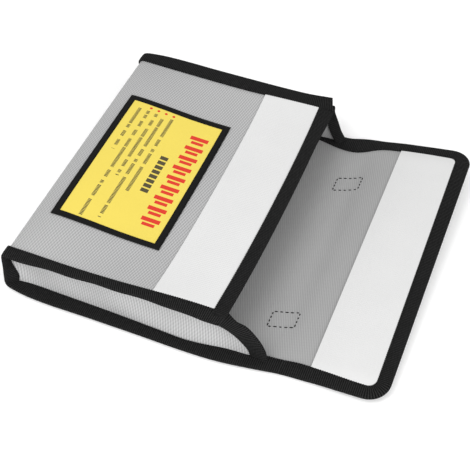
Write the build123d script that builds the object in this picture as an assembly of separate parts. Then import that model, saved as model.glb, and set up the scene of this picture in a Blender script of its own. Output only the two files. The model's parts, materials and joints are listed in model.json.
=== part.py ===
from build123d import *
import os

# A soft fire-resistant pouch for storing batteries, lying on its back with the flap open.
# One strip of coated cloth forms the front, base, back and flap.  Two gussets close its sides.
# Binding tape wraps every raw edge, so the side seams stand out as flat fins.
# Millimetres.  +X runs from the folded base to the mouth and the flap, +Y across, +Z up.
# The near side is -Y and the far side is +Y.  Lengths below start at the base fold, and the
# origin is under the middle of the whole outline, on the surface that the pouch lies on.

# Overall sizes
WIDTH = 215.0          # over the bound side seams
HEIGHT = 29.0          # surface to the front panel's outer face
BACK_LENGTH = 171.0    # base fold to the fold line of the flap
FRONT_LENGTH = 144.5   # base fold to the mouth edge of the front
FLAP_LENGTH = 74.2     # fold line to the flap's free edge

# Cloth, tape and webbing
CLOTH = 0.7            # coated glass cloth
TAPE = 0.8             # one layer of binding tape
TAPE_WIDTH = 9.4       # part of the binding tape that shows on each side of an edge
GAP = 0.3              # space between pieces that move past each other
PRESS_DROP = 1.7       # how far the front fin comes down beside the base seam

# Handle: a flat strap sewn outside the fold line of the flap
STRAP_WIDTH = 20.0
STRAP = 1.2
STRAP_LENGTH = 150.0
STRAP_Y = -5.5         # middle of the strap
BOX_SPACING = 131.0    # between the middles of the two sewn boxes
BOX_X = 16.0
BOX_Y = 12.5
THREAD = 0.9           # width of a sewn line
THREAD_RISE = 0.3      # how far a sewn line stands above the cloth

# Hook-and-loop strips
STRIP_WIDTH = 38.0
STRIP = 1.2
STRIP_INSET = 0.5      # front strip to the mouth tape, and flap strip to the edge tape

# Mouth of the gussets
MOUTH_BULGE = 7.2      # how far the mouth edge bows out from a straight line
MOUTH_FOOT = 2.3       # foot of the mouth edge, short of the fold line

# Flap: three runs of cloth between fold lines, each at its own slope while it lies open
ROOT_LENGTH = 18.0
MID_LENGTH = 20.0
ROOT_SLOPE = 10.0
MID_SLOPE = 9.0
LIP_SLOPE = 4.4
FLAP_CORNER = 14.0     # outer radius of the free corners
FLAP_STRIP_START = 26.4

# Label sewn on the front
LABEL_X = 75.0
LABEL_Y = 122.0
LABEL_CENTRE_X = 49.5
LABEL_CENTRE_Y = -3.0
LABEL_CORNER = 2.5
LABEL = 0.5
BORDER_WIDTH = 4.6     # overlocked edge
BORDER = 1.1

# Stack of layers, from the surface up
back_under = STRAP                       # outer face of the back panel
back_top = back_under + CLOTH            # inner face of the back panel
back_fin_top = back_top + CLOTH + TAPE   # gusset flange and tape above the panel
back_fin_under = back_under - TAPE
front_under = HEIGHT - CLOTH             # inner face of the front panel
front_fin_under = front_under - CLOTH - TAPE
front_fin_top = HEIGHT + TAPE

# Plan
half_width = WIDTH / 2
cloth_edge = half_width - TAPE           # raw edge of the cloth inside the tape
gusset_out = half_width - TAPE_WIDTH     # outer face of a gusset
gusset_in = gusset_out - CLOTH
tape_in = gusset_out + GAP               # inner edge of the fin tapes
pivot_rise = TAPE + 0.1                  # fold axes run just above the flap's edge tape
pivot_z = back_top + pivot_rise
seam_end = BACK_LENGTH - 1.0             # back tapes stop short of the fold line
lip_length = FLAP_LENGTH - ROOT_LENGTH - MID_LENGTH


def slab(x, y, z):
    """A block between pairs of values along each axis."""
    size = [b - a for a, b in (x, y, z)]
    middle = [(a + b) / 2 for a, b in (x, y, z)]
    return Pos(*middle) * Box(*size)


def both(piece):
    """A piece made for the far side, and its mirror image for the near side."""
    return {"far": piece, "near": mirror(piece, about=Plane.XZ)}


def bound_fin(x, z, slot):
    """Folded tape along the far side fin, with a slot for the layers that it binds."""
    tape = slab(x, (tape_in, half_width), z)
    return tape - slab(x, (tape_in, cloth_edge), slot)


# Places of the fold axes along the open flap
root_at = Pos(BACK_LENGTH, 0, pivot_z) * Rot(0, -ROOT_SLOPE, 0)
mid_at = root_at * Pos(ROOT_LENGTH, 0, 0) * Rot(0, ROOT_SLOPE - MID_SLOPE, 0)
lip_at = mid_at * Pos(MID_LENGTH, 0, 0) * Rot(0, MID_SLOPE - LIP_SLOPE, 0)
flap_end = (lip_at * Pos(lip_length, 0, 0)).position
middle_x = flap_end.X / 2

parts = {}

# Back and base: flat runs of the cloth strip
parts["back_panel"] = slab((0, BACK_LENGTH - GAP), (-cloth_edge, cloth_edge), (back_under, back_top))
parts["base_panel"] = slab((0, CLOTH), (-gusset_out, gusset_out), (back_top, front_under - GAP))

# Gussets: a side wall with a bowed mouth edge, and flanges turned out into the fins
foot = Vector(BACK_LENGTH - MOUTH_FOOT, back_top)
head = Vector(FRONT_LENGTH - TAPE, front_under)
chord = head - foot
outward = Vector(chord.Y, -chord.X).normalized()


def mouth_line(inset):
    """The bowed mouth edge, moved into the gusset by an inset."""
    a, b = foot - outward * inset, head - outward * inset
    return ThreePointArc(a, (a + b) / 2 + outward * MOUTH_BULGE, b)


def side_wall(inset):
    """Outline of the gusset's wall, in X and Z, with its mouth edge moved in by an inset."""
    edge = mouth_line(inset)
    a, b = edge @ 0, edge @ 1
    rest = Polyline(b, (CLOTH, front_under), (CLOTH, back_top), a) if inset == 0 else None
    return make_face([edge, rest]) if rest else make_face([edge, Line(b, a)])


def upright(face, y):
    """A face drawn in X and Z, as a solid between two values of Y."""
    solid = extrude(Plane.XZ * face, amount=y[1] - y[0])
    return Pos(0, y[1], 0) * solid


gusset = upright(side_wall(0), (gusset_in, gusset_out))
gusset += slab((CLOTH, seam_end), (gusset_out, cloth_edge), (back_top, back_top + CLOTH))
gusset += slab((CLOTH, FRONT_LENGTH - TAPE), (gusset_out, cloth_edge), (front_under - CLOTH, front_under))

# Tape folded over the mouth edge of a gusset, between the two fins
edge, inner = mouth_line(-TAPE), mouth_line(TAPE_WIDTH - TAPE)
band = make_face([edge, Line(edge @ 1, inner @ 1), inner, Line(inner @ 0, edge @ 0)])
mouth_tape = upright(band, (gusset_in - TAPE, gusset_out + TAPE))
mouth_tape -= upright(side_wall(0), (gusset_in, gusset_out))
between_fins = (back_fin_top + GAP, front_fin_under - GAP)
mouth_tape &= slab((0, BACK_LENGTH), (0, WIDTH), between_fins)

# Bound seam between base and gusset: a fin that stands out halfway between the two faces.
# Pressing the front shut lowers its fin by a little here, so the upright one stops short of it.
base_fin = CLOTH + 2 * TAPE
base_tape_z = (back_fin_top + GAP, front_fin_under - GAP - PRESS_DROP)
base_tape = slab((-TAPE_WIDTH - base_fin, 0), (-base_fin / 2, base_fin / 2), base_tape_z)
base_tape = Rot(0, 0, -45) * base_tape
reach = base_tape.bounding_box().min.X
base_tape = Pos(-reach, gusset_out, 0) * base_tape
base_tape -= slab((0, BACK_LENGTH), (0, gusset_out), (0, HEIGHT))

back_tape = bound_fin((0, seam_end), (back_fin_under, back_fin_top), (back_under, back_top + CLOTH))
front_tape = bound_fin((GAP, FRONT_LENGTH), (front_fin_under, front_fin_top), (front_under - CLOTH, HEIGHT))

for name, piece in (
    ("gusset", gusset),
    ("gusset_mouth_tape", mouth_tape),
    ("base_seam_tape", base_tape),
    ("back_seam_tape", back_tape),
    ("front_seam_tape", front_tape),
):
    for side, solid in both(piece).items():
        parts[f"{side}_{name}"] = solid

# Front: the cloth, its mouth tape, the hook strip and the label
parts["front_panel"] = slab((0, FRONT_LENGTH - TAPE), (-cloth_edge, cloth_edge), (front_under, HEIGHT))
front_edge_y = gusset_in - TAPE - GAP    # the mouth tape passes between the gusset tapes
mouth_start = FRONT_LENGTH - TAPE_WIDTH
front_edge = (-front_edge_y, front_edge_y)
front_mouth = slab((mouth_start, FRONT_LENGTH), front_edge, (front_under - TAPE, front_fin_top))
front_mouth -= slab((mouth_start, FRONT_LENGTH - TAPE), front_edge, (front_under, HEIGHT))
parts["front_mouth_tape"] = front_mouth

strip_y = (-gusset_out, gusset_out)
front_strip_end = mouth_start - STRIP_INSET
front_strip_x = (front_strip_end - STRIP_WIDTH, front_strip_end)
parts["front_hook_strip"] = slab(front_strip_x, strip_y, (HEIGHT, HEIGHT + STRIP))

label_at = Pos(LABEL_CENTRE_X, LABEL_CENTRE_Y, HEIGHT)
label_outline = RectangleRounded(LABEL_X, LABEL_Y, LABEL_CORNER)
label_window = Rectangle(LABEL_X - 2 * BORDER_WIDTH, LABEL_Y - 2 * BORDER_WIDTH)
parts["label_patch"] = label_at * extrude(label_window, amount=LABEL)
parts["label_border"] = label_at * extrude(label_outline - label_window, amount=BORDER)

# Handle: one strap, which the fold line of the flap divides along its middle
strap_y = (STRAP_Y - STRAP_LENGTH / 2, STRAP_Y + STRAP_LENGTH / 2)
half_strap = STRAP_WIDTH / 2
parts["handle_strap_back_half"] = slab((BACK_LENGTH - half_strap, BACK_LENGTH - GAP), strap_y, (0, STRAP))
run_under = -pivot_rise - CLOTH          # outer face of the flap's cloth, from a fold axis
run_top = -pivot_rise                    # inner face of the flap's cloth, from a fold axis
flap_half = slab((GAP, half_strap), strap_y, (run_under - STRAP, run_under))
parts["handle_strap_flap_half"] = root_at * flap_half


def box_stitch(x, z):
    """The part of both sewn boxes that lies within a range of X, standing up from a face."""
    frame = Rectangle(BOX_X, BOX_Y) - Rectangle(BOX_X - 2 * THREAD, BOX_Y - 2 * THREAD)
    box = extrude(frame, amount=THREAD_RISE) & slab(x, (-BOX_Y, BOX_Y), (0, THREAD_RISE))
    middles = (STRAP_Y - BOX_SPACING / 2, STRAP_Y + BOX_SPACING / 2)
    return Compound([Pos(0, y, z) * box for y in middles])


back_boxes = box_stitch((-BOX_X, -GAP), back_top)
parts["handle_box_stitches_back"] = Pos(BACK_LENGTH, 0, 0) * back_boxes
parts["handle_box_stitches_flap"] = root_at * box_stitch((GAP, BOX_X), run_top)


def flap_run(name, at, length, strip):
    """One run of the flap between fold lines, with tape on both edges and its part of the strip."""
    x = (GAP, length - GAP)
    tape_z = (run_under - TAPE, run_top + TAPE)
    parts[f"flap_{name}_panel"] = at * slab(x, (-cloth_edge, cloth_edge), (run_under, run_top))
    for side, solid in both(bound_fin(x, tape_z, (run_under, run_top))).items():
        parts[f"{side}_flap_{name}_tape"] = at * solid
    if strip:
        parts[f"flap_loop_strip_{name}"] = at * slab(strip, strip_y, (run_top, run_top + STRIP))


strip_start = FLAP_STRIP_START - ROOT_LENGTH
flap_run("root", root_at, ROOT_LENGTH, None)
flap_run("mid", mid_at, MID_LENGTH, (strip_start, MID_LENGTH - GAP))


def lip_outline(inset):
    """Plan of the flap's last run, with rounded free corners, moved in by an inset."""
    long, wide = lip_length - inset, half_width - inset
    corner = max(FLAP_CORNER - inset, TAPE)
    plate = Rectangle(long, 2 * wide, align=(Align.MIN, Align.CENTER))
    return fillet(plate.vertices().group_by(Axis.X)[-1], corner) & (
        Pos(GAP, 0) * Rectangle(WIDTH, WIDTH, align=(Align.MIN, Align.CENTER))
    )


def lip_plate(inset, z):
    """The last run's outline as a plate between two heights."""
    return Pos(0, 0, z[0]) * extrude(lip_outline(inset), amount=z[1] - z[0])


parts["flap_lip_panel"] = lip_at * lip_plate(TAPE, (run_under, run_top))
lip_tape = lip_plate(0, (run_under - TAPE, run_top + TAPE)) - lip_plate(TAPE, (run_under, run_top))
lip_tape -= lip_plate(TAPE_WIDTH - GAP, (run_under - TAPE, run_top + TAPE))
parts["flap_lip_edge_tape"] = lip_at * lip_tape
lip_strip_end = strip_start + STRIP_WIDTH - MID_LENGTH
lip_strip = slab((GAP, lip_strip_end), strip_y, (run_top, run_top + STRIP))
parts["flap_loop_strip_lip"] = lip_at * (lip_strip & lip_plate(TAPE_WIDTH, (run_top, run_top + STRIP)))

os.makedirs("parts", exist_ok=True)
for name, solid in parts.items():
    solid = Pos(-middle_x, 0, 0) * solid
    solid.label = name
    export_step(solid, f"parts/{name}.step")

for name, place in (("root", root_at), ("mid", mid_at), ("lip", lip_at)):
    print(f"{name} fold axis: x {place.position.X - middle_x:.3f} z {place.position.Z:.3f}")
print(f"front fold axis: x {CLOTH / 2 - middle_x:.3f} z {HEIGHT - CLOTH / 2:.3f}")
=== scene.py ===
"""A soft battery pouch of coated cloth, lying on its back with the flap open.

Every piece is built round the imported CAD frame.  Lengths inside the classes are millimetres
from the folded base of the pouch, +X towards the mouth and the flap, +Y to the far side,
+Z up, and turn into metres in the row frame when a mesh is made.
"""
import json
import logging
import math
from dataclasses import dataclass, field
from enum import Enum

import bmesh
import bpy
import numpy as np
from mathutils import Matrix, Vector


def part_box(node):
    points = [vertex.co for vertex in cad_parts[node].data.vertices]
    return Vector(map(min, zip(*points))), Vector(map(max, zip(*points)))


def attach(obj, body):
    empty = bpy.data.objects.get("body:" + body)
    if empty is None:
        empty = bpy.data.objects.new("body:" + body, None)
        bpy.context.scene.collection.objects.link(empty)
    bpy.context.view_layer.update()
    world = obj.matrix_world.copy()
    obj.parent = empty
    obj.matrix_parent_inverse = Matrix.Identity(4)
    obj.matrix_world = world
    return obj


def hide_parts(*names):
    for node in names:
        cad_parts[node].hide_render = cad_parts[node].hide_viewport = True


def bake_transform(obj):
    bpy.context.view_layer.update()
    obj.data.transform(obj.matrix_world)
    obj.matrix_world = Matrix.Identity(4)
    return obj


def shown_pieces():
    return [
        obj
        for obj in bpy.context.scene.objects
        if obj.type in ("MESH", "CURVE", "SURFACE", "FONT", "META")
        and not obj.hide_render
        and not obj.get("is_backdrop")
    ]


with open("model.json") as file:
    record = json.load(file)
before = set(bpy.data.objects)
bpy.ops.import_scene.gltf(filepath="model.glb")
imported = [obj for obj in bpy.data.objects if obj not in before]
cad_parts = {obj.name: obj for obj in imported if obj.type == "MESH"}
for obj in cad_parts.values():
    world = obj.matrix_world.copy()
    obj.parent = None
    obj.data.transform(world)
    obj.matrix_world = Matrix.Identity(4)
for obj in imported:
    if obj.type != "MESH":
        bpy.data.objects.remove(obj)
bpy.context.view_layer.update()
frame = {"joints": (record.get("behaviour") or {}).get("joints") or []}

LOG = logging.getLogger("pouch")
MM = 0.001
BASE_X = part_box("base_panel")[0].x
UV_NAME = "cloth_uv"
NEAR_ONE = 0.999  # keeps the last row of a rounded corner from closing to a point


class Side(Enum):
    """The two long sides of the pouch, with the sign of Y on each."""

    NEAR = -1
    FAR = 1


# ---------------------------------------------------------------- smooth lines and small maths


def smooth(low: float, high: float, at: np.ndarray) -> np.ndarray:
    """A smooth step from 0 at low to 1 at high."""
    t = np.clip((np.asarray(at, float) - low) / (high - low), 0, 1)
    return t * t * (3 - 2 * t)


class Fair:
    """A fair line through a few knots, as a maker bends a batten."""

    def __init__(self, *knots: tuple) -> None:
        """Keeps the knots and works out a slope at each.

        Args:
            knots: pairs of place and value, in order of place.
        """
        self.place = np.array([k[0] for k in knots], float)
        self.value = np.array([k[1] for k in knots], float)
        steps = np.diff(self.place)
        rise = np.diff(self.value, axis=0) / (steps if self.value.ndim == 1 else steps[:, None])
        slope = np.zeros_like(self.value)
        slope[0], slope[-1] = rise[0], rise[-1]
        slope[1:-1] = (rise[1:] + rise[:-1]) / 2
        self.slope = slope

    def __call__(self, at: np.ndarray) -> np.ndarray:
        """The value at each place, held level beyond both ends.

        Args:
            at: places to read the line at.

        Returns:
            The value at each place.
        """
        x = np.clip(np.asarray(at, float), self.place[0], self.place[-1])
        i = np.clip(np.searchsorted(self.place, x, side="right") - 1, 0, len(self.place) - 2)
        step = self.place[i + 1] - self.place[i]
        t = (x - self.place[i]) / step
        if self.value.ndim > 1:
            t, step = t[..., None], step[..., None]
        a, b, p, q = self.value[i], self.value[i + 1], self.slope[i] * step, self.slope[i + 1] * step
        return a + t * (p + t * (3 * (b - a) - 2 * p - q + t * (2 * (a - b) + p + q)))


def ease(rows: np.ndarray, spacing: float, radius: float) -> np.ndarray:
    """Rounds the corners of lines of points along their first axis.

    Args:
        rows: points, evenly spaced along the first axis.
        spacing: distance between rows.
        radius: reach of the rounding.

    Returns:
        The points with their ends unchanged.
    """
    reach = max(1, int(round(3 * radius / spacing)))
    head = 2 * rows[:1] - rows[reach:0:-1]
    tail = 2 * rows[-1:] - rows[-2 : -reach - 2 : -1]
    padded = np.concatenate([head, rows, tail])
    taps = np.exp(-0.5 * (np.arange(-reach, reach + 1) * spacing / radius) ** 2)
    taps /= taps.sum()
    eased = sum(w * padded[i : i + len(rows)] for i, w in enumerate(taps))
    eased[0], eased[-1] = rows[0], rows[-1]
    return eased


def unit(vectors: np.ndarray) -> np.ndarray:
    """Vectors at length 1."""
    return vectors / np.maximum(np.linalg.norm(vectors, axis=-1, keepdims=True), 1e-9)


def run_length(points: np.ndarray) -> np.ndarray:
    """Distance along a line of points, from its start."""
    return np.concatenate([[0.0], np.cumsum(np.linalg.norm(np.diff(points, axis=0), axis=1))])


def row_frame(points: np.ndarray) -> np.ndarray:
    """Millimetres from the base fold, as metres in the row frame."""
    return np.asarray(points, float) * MM + np.array([BASE_X, 0.0, 0.0])


def row_point(x: float, y: float, z: float) -> Vector:
    """One point in millimetres from the base fold, as metres in the row frame."""
    return Vector(row_frame(np.array([x, y, z])))


# ---------------------------------------------------------------- meshes


@dataclass
class MeshMaker:
    """Collects faces for one piece and makes its object."""

    name: str
    points: list = field(default_factory=list)
    faces: list = field(default_factory=list)
    uvs: list = field(default_factory=list)
    marks: list = field(default_factory=list)

    def grid(self, points: np.ndarray, uv: np.ndarray, mark: int = 0) -> np.ndarray:
        """Adds a grid of quads.

        Args:
            points: grid of points, rows by columns by 3.
            uv: the same grid's place on the cloth, in millimetres.
            mark: which of the piece's materials the faces take.

        Returns:
            The grid of point numbers.
        """
        rows, columns = points.shape[:2]
        first = len(self.points)
        self.points.extend(points.reshape(-1, 3).tolist())
        index = np.arange(rows * columns).reshape(rows, columns) + first
        flat = uv.reshape(-1, 2)
        quads = np.stack([index[:-1, :-1], index[:-1, 1:], index[1:, 1:], index[1:, :-1]], -1)
        for quad in quads.reshape(-1, 4):
            self.faces.append(tuple(int(i) for i in quad))
            self.uvs.append([tuple(flat[i - first]) for i in quad])
            self.marks.append(mark)
        return index

    def strip(self, a: np.ndarray, b: np.ndarray, uv: np.ndarray, mark: int = 0) -> None:
        """Joins two rows of points with quads, at one row of cloth places.

        Args:
            a: first row of point numbers.
            b: second row of point numbers.
            uv: the row's place on the cloth.
            mark: which material the faces take.
        """
        for i in range(len(a) - 1):
            self.faces.append((int(a[i]), int(a[i + 1]), int(b[i + 1]), int(b[i])))
            self.uvs.append([tuple(uv[i]), tuple(uv[i + 1]), tuple(uv[i + 1]), tuple(uv[i])])
            self.marks.append(mark)

    def cap(self, ring: np.ndarray, uv: np.ndarray, mark: int = 0) -> None:
        """Closes a ring of points with one face."""
        self.faces.append(tuple(int(i) for i in ring))
        self.uvs.append([tuple(p) for p in uv])
        self.marks.append(mark)

    def build(self, materials: list, crease: float = 42.0) -> bpy.types.Object:
        """Makes the object, with its normals outward and its creases kept.

        Args:
            materials: the piece's materials, in the order of their marks.
            crease: faces that meet more sharply than this many degrees show an edge.

        Returns:
            The finished object, at the origin.
        """
        mesh = bpy.data.meshes.new(self.name)
        mesh.from_pydata(row_frame(np.array(self.points)).tolist(), [], self.faces)
        layer = mesh.uv_layers.new(name=UV_NAME)
        layer.data.foreach_set("uv", (np.array([c for f in self.uvs for c in f]) * MM).ravel())
        mesh.polygons.foreach_set("material_index", self.marks)
        for material in materials:
            mesh.materials.append(material)
        work = bmesh.new()
        work.from_mesh(mesh)
        bmesh.ops.remove_doubles(work, verts=work.verts, dist=1e-7)
        bmesh.ops.recalc_face_normals(work, faces=work.faces)
        work.to_mesh(mesh)
        work.free()
        mesh.shade_smooth()
        mesh.set_sharp_from_angle(angle=math.radians(crease))
        mesh.update()
        piece = bpy.data.objects.new(self.name, mesh)
        bpy.context.scene.collection.objects.link(piece)
        return piece


def shell(name: str, outer: np.ndarray, inner: np.ndarray, uv: np.ndarray, materials: list,
          sides: tuple = (0, 1, 0), crease: float = 42.0) -> bpy.types.Object:
    """A thin closed piece between two grids of points.

    Args:
        name: the piece's name.
        outer: grid of points on the outer side.
        inner: the matching grid on the inner side.
        uv: the grid's place on the cloth, in millimetres.
        materials: the piece's materials.
        sides: which material the outer side, the inner side and the edges take.
        crease: degrees above which an edge shows.

    Returns:
        The finished object.
    """
    maker = MeshMaker(name)
    a = maker.grid(outer, uv, sides[0])
    b = maker.grid(inner, uv, sides[1])
    for at in (np.s_[0], np.s_[-1]):
        maker.strip(a[at], b[at], uv[at], sides[2])
        maker.strip(a[:, at], b[:, at], uv[:, at], sides[2])
    return maker.build(materials, crease)


def grid_normals(points: np.ndarray) -> np.ndarray:
    """Unit normals of a grid of points: its second axis crossed with its first."""
    return unit(np.cross(np.gradient(points, axis=1), np.gradient(points, axis=0)))


def band(name: str, inner: np.ndarray, outer: np.ndarray, material: bpy.types.Material,
         thick: tuple = (1.5, 1.0), wrap: float = 0.8, ripple: float = 0.2) -> bpy.types.Object:
    """Folded binding tape along an edge: a soft closed band between two lines.

    Args:
        name: the piece's name.
        inner: line of points under the tape's sewn edge.
        outer: the matching line on the cloth's raw edge.
        material: the tape's material.
        thick: half of the band's thickness at its sewn edge and at its fold.
        wrap: how far the fold stands beyond the raw edge.
        ripple: size of the small bites along the sewn edge.

    Returns:
        The finished object.
    """
    middle = (inner + outer) / 2
    across = outer - inner
    width = np.linalg.norm(across, axis=1, keepdims=True)
    across = across / width
    along = unit(np.gradient(middle, axis=0))
    normal = unit(np.cross(across, along))
    root, fold = thick
    bites = ripple * np.where(np.arange(len(inner)) % 2, 1.0, -1.0)[:, None]
    outline = [(0.0, 0.45), (0.0, 0.86), (0.06, 1.0), (0.3, 0.97), (0.55, 0.8), (0.78, 0.45),
               (0.95, 0.0), (1.02, -0.6)]
    rings, places = [], []
    for share, level in outline:
        a = share * width + (bites if share < 0.05 else 0.0)
        half = fold + (root - fold) * np.clip(level, 0, 1) if level >= 0 else fold * 0.62
        if share < 0.05:
            half = root * level
        rings.append((a, half))
        places.append(share)
    rings.append((width + wrap, 0.0))
    places.append(1.12)
    lower = [(a, -half) for a, half in rings[-2::-1]]
    rings += lower
    places += [2.24 - s for s in places[-2::-1]]
    loop = [inner + across * a + normal * b for a, b in rings]
    points = np.stack(loop + [loop[0]], axis=1)
    run = run_length(middle)
    size = float(np.median(width))
    across_uv = np.array(places + [places[-1] + 0.1]) * size
    uv = np.stack(np.broadcast_arrays(run[:, None], across_uv[None, :]), -1)
    maker = MeshMaker(name)
    index = maker.grid(points, uv)
    for end in (0, -1):
        maker.cap(index[end][:-1], uv[end][:-1])
    return maker.build([material], 60.0)


# ---------------------------------------------------------------- shader helpers


class Value:
    """A number on the way through a shader; arithmetic on it adds Math nodes."""

    def __init__(self, tree: "Tree", socket: bpy.types.NodeSocket) -> None:
        """Wraps one output socket of a tree."""
        self.tree, self.socket = tree, socket

    def maths(self, operation: str, *others: object) -> "Value":
        """A Math node on this value and others."""
        return self.tree.maths(operation, self, *others)

    def __add__(self, other: object) -> "Value":
        """Sum."""
        return self.maths("ADD", other)

    def __sub__(self, other: object) -> "Value":
        """Difference."""
        return self.maths("SUBTRACT", other)

    def __rsub__(self, other: object) -> "Value":
        """Difference, from a number."""
        return self.tree.maths("SUBTRACT", other, self)

    def __mul__(self, other: object) -> "Value":
        """Product."""
        return self.maths("MULTIPLY", other)

    def __truediv__(self, other: object) -> "Value":
        """Quotient."""
        return self.maths("DIVIDE", other)

    def __mod__(self, other: object) -> "Value":
        """Remainder, always positive."""
        return self.maths("FLOORED_MODULO", other)

    def __gt__(self, other: object) -> "Value":
        """1 where this value is the greater."""
        return self.maths("GREATER_THAN", other)

    def __lt__(self, other: object) -> "Value":
        """1 where this value is the smaller."""
        return self.maths("LESS_THAN", other)

    def __abs__(self) -> "Value":
        """Size without the sign."""
        return self.maths("ABSOLUTE")

    __radd__, __rmul__ = __add__, __mul__

    def wave(self, pitch: float) -> "Value":
        """A sine of this length, from 0 to 1, that repeats at a pitch."""
        return (self * (2 * math.pi / pitch)).maths("SINE") * 0.5 + 0.5

    def floor(self) -> "Value":
        """The whole number below."""
        return self.maths("FLOOR")


class Tree:
    """The nodes of one material."""

    def __init__(self, name: str) -> None:
        """Starts a material with its surface shader.

        Args:
            name: the material's name.
        """
        self.material = bpy.data.materials.new(name)
        self.material.use_nodes = True
        self.nodes, self.links = self.material.node_tree.nodes, self.material.node_tree.links
        self.shader = self.nodes["Principled BSDF"]

    def plug(self, socket: bpy.types.NodeSocket, given: object) -> None:
        """Sets a socket to a number or colour, or links it to a value.

        Args:
            socket: the input.
            given: a number, colour, socket or value.
        """
        if isinstance(given, Value):
            self.links.new(given.socket, socket)
        elif isinstance(given, bpy.types.NodeSocket):
            self.links.new(given, socket)
        else:
            socket.default_value = given

    def node(self, kind: str, settings: dict, sockets: dict) -> bpy.types.Node:
        """Adds one node.

        Args:
            kind: the node's type.
            settings: its properties, set first.
            sockets: values or links of its inputs, by name or number.

        Returns:
            The node.
        """
        made = self.nodes.new(kind)
        for key, value in settings.items():
            setattr(made, key, value)
        for key, given in sockets.items():
            self.plug(made.inputs[key], given)
        return made

    def maths(self, operation: str, *given: object) -> Value:
        """A Math node's result."""
        made = self.node("ShaderNodeMath", {"operation": operation}, dict(enumerate(given)))
        return Value(self, made.outputs[0])

    def ramp(self, value: Value, low: float, high: float) -> Value:
        """A smooth step of a value from 0 at low to 1 at high."""
        made = self.node("ShaderNodeMapRange", {"interpolation_type": "SMOOTHSTEP"},
                         {"Value": value, "From Min": low, "From Max": high})
        return Value(self, made.outputs[0])

    def mix(self, factor: object, a: tuple, b: tuple) -> bpy.types.NodeSocket:
        """A colour between two colours."""
        made = self.node("ShaderNodeMix", {"data_type": "RGBA"}, {0: factor, 6: a, 7: b})
        return made.outputs[2]

    def cloth_place(self) -> tuple:
        """Place along and across the cloth, in metres."""
        place = self.node("ShaderNodeUVMap", {"uv_map": UV_NAME}, {})
        split = self.node("ShaderNodeSeparateXYZ", {}, {0: place.outputs[0]})
        return Value(self, split.outputs[0]), Value(self, split.outputs[1])

    def noise(self, scale: float, detail: float = 2.0) -> Value:
        """Cloudy noise over the object, from 0 to 1.

        Args:
            scale: size of its grain, as the node takes it.
            detail: how many finer layers it has.

        Returns:
            The noise.
        """
        place = self.node("ShaderNodeTexCoord", {}, {})
        made = self.node("ShaderNodeTexNoise", {},
                         {"Vector": place.outputs["Object"], "Scale": scale, "Detail": detail})
        return Value(self, made.outputs[0])

    def bump(self, height: Value, depth: float) -> bpy.types.NodeSocket:
        """A bump from a height between 0 and 1 that stands for a depth in metres."""
        made = self.node("ShaderNodeBump", {}, {"Strength": 1.0, "Distance": depth, "Height": height})
        return made.outputs[0]

    def finish(self, **sockets: object) -> bpy.types.Material:
        """Sets the surface shader's sockets, named with _ for a space.

        Returns:
            The finished material.
        """
        for key, given in sockets.items():
            self.plug(self.shader.inputs[key.replace("_", " ")], given)
        return self.material


def grey(level: float) -> tuple:
    """A neutral colour."""
    return (level, level, level, 1.0)


# ---------------------------------------------------------------- finishes


@dataclass(frozen=True)
class SilverCloth:
    """Aluminised glass cloth with a fine crossed twill."""

    name: str = "silver_cloth"
    level: float = 0.435
    twill: tuple = (-0.574, -0.146)
    cross: tuple = (-0.408, 0.374)

    def material(self) -> bpy.types.Material:
        """The cloth's outer side.

        Returns:
            The material.
        """
        tree = Tree(self.name)
        along, across = tree.cloth_place()
        twill, cross = ((along * a + across * b).wave(MM) for a, b in (self.twill, self.cross))
        cloud = tree.noise(28.0, 3.0)
        weave = twill * 0.72 + cross * 0.28
        shade = weave * 0.82 + cloud * 0.18
        low, high = self.level * 0.70, self.level * 1.30
        return tree.finish(
            Base_Color=tree.mix(shade, grey(low), (high, high, high * 1.005, 1.0)),
            Metallic=0.2, Roughness=cloud * 0.12 + 0.46, Specular_IOR_Level=0.3,
            Normal=tree.bump(weave, 0.00016))


@dataclass(frozen=True)
class Lining:
    """The cloth's inner side: fine ribs that lean to the side seams."""

    name: str = "grey_lining"
    level: float = 0.335
    pitch: float = 1.46 * MM
    lean: float = math.radians(21.8)

    def material(self) -> bpy.types.Material:
        """The cloth's inner side.

        Returns:
            The material.
        """
        tree = Tree(self.name)
        along, across = tree.cloth_place()
        lines = along * math.cos(self.lean) + across * math.sin(self.lean)
        rib = lines.wave(self.pitch)
        pick = (across * math.cos(self.lean) - along * math.sin(self.lean)).wave(self.pitch * 0.8)
        cloud = tree.noise(30.0, 3.0)
        weave = rib * 0.7 + pick * 0.3
        shade = weave * 0.75 + cloud * 0.25
        return tree.finish(
            Base_Color=tree.mix(shade, grey(self.level * 0.83), grey(self.level * 1.17)),
            Roughness=0.62, Specular_IOR_Level=0.3, Normal=tree.bump(weave, 0.00012))


@dataclass(frozen=True)
class BindingTape:
    """Black grosgrain binding with ribs across its width."""

    name: str = "binding_tape"
    level: float = 0.0055
    pitch: float = 1.25 * MM

    def material(self) -> bpy.types.Material:
        """The tape.

        Returns:
            The material.
        """
        tree = Tree(self.name)
        along, across = tree.cloth_place()
        rib = along.wave(self.pitch)
        pick = (across + (along / self.pitch).floor() * (self.pitch * 0.37)).wave(self.pitch * 0.8)
        weave = rib * 0.6 + pick * 0.4
        cloud = tree.noise(700.0, 2.0)
        shade = tree.ramp(weave * 0.72 + cloud * 0.28, 0.25, 0.85)
        return tree.finish(
            Base_Color=tree.mix(shade, grey(self.level * 0.05), grey(self.level * 5.6)),
            Roughness=0.75, Specular_IOR_Level=0.06, Normal=tree.bump(weave, 0.00035))


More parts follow.
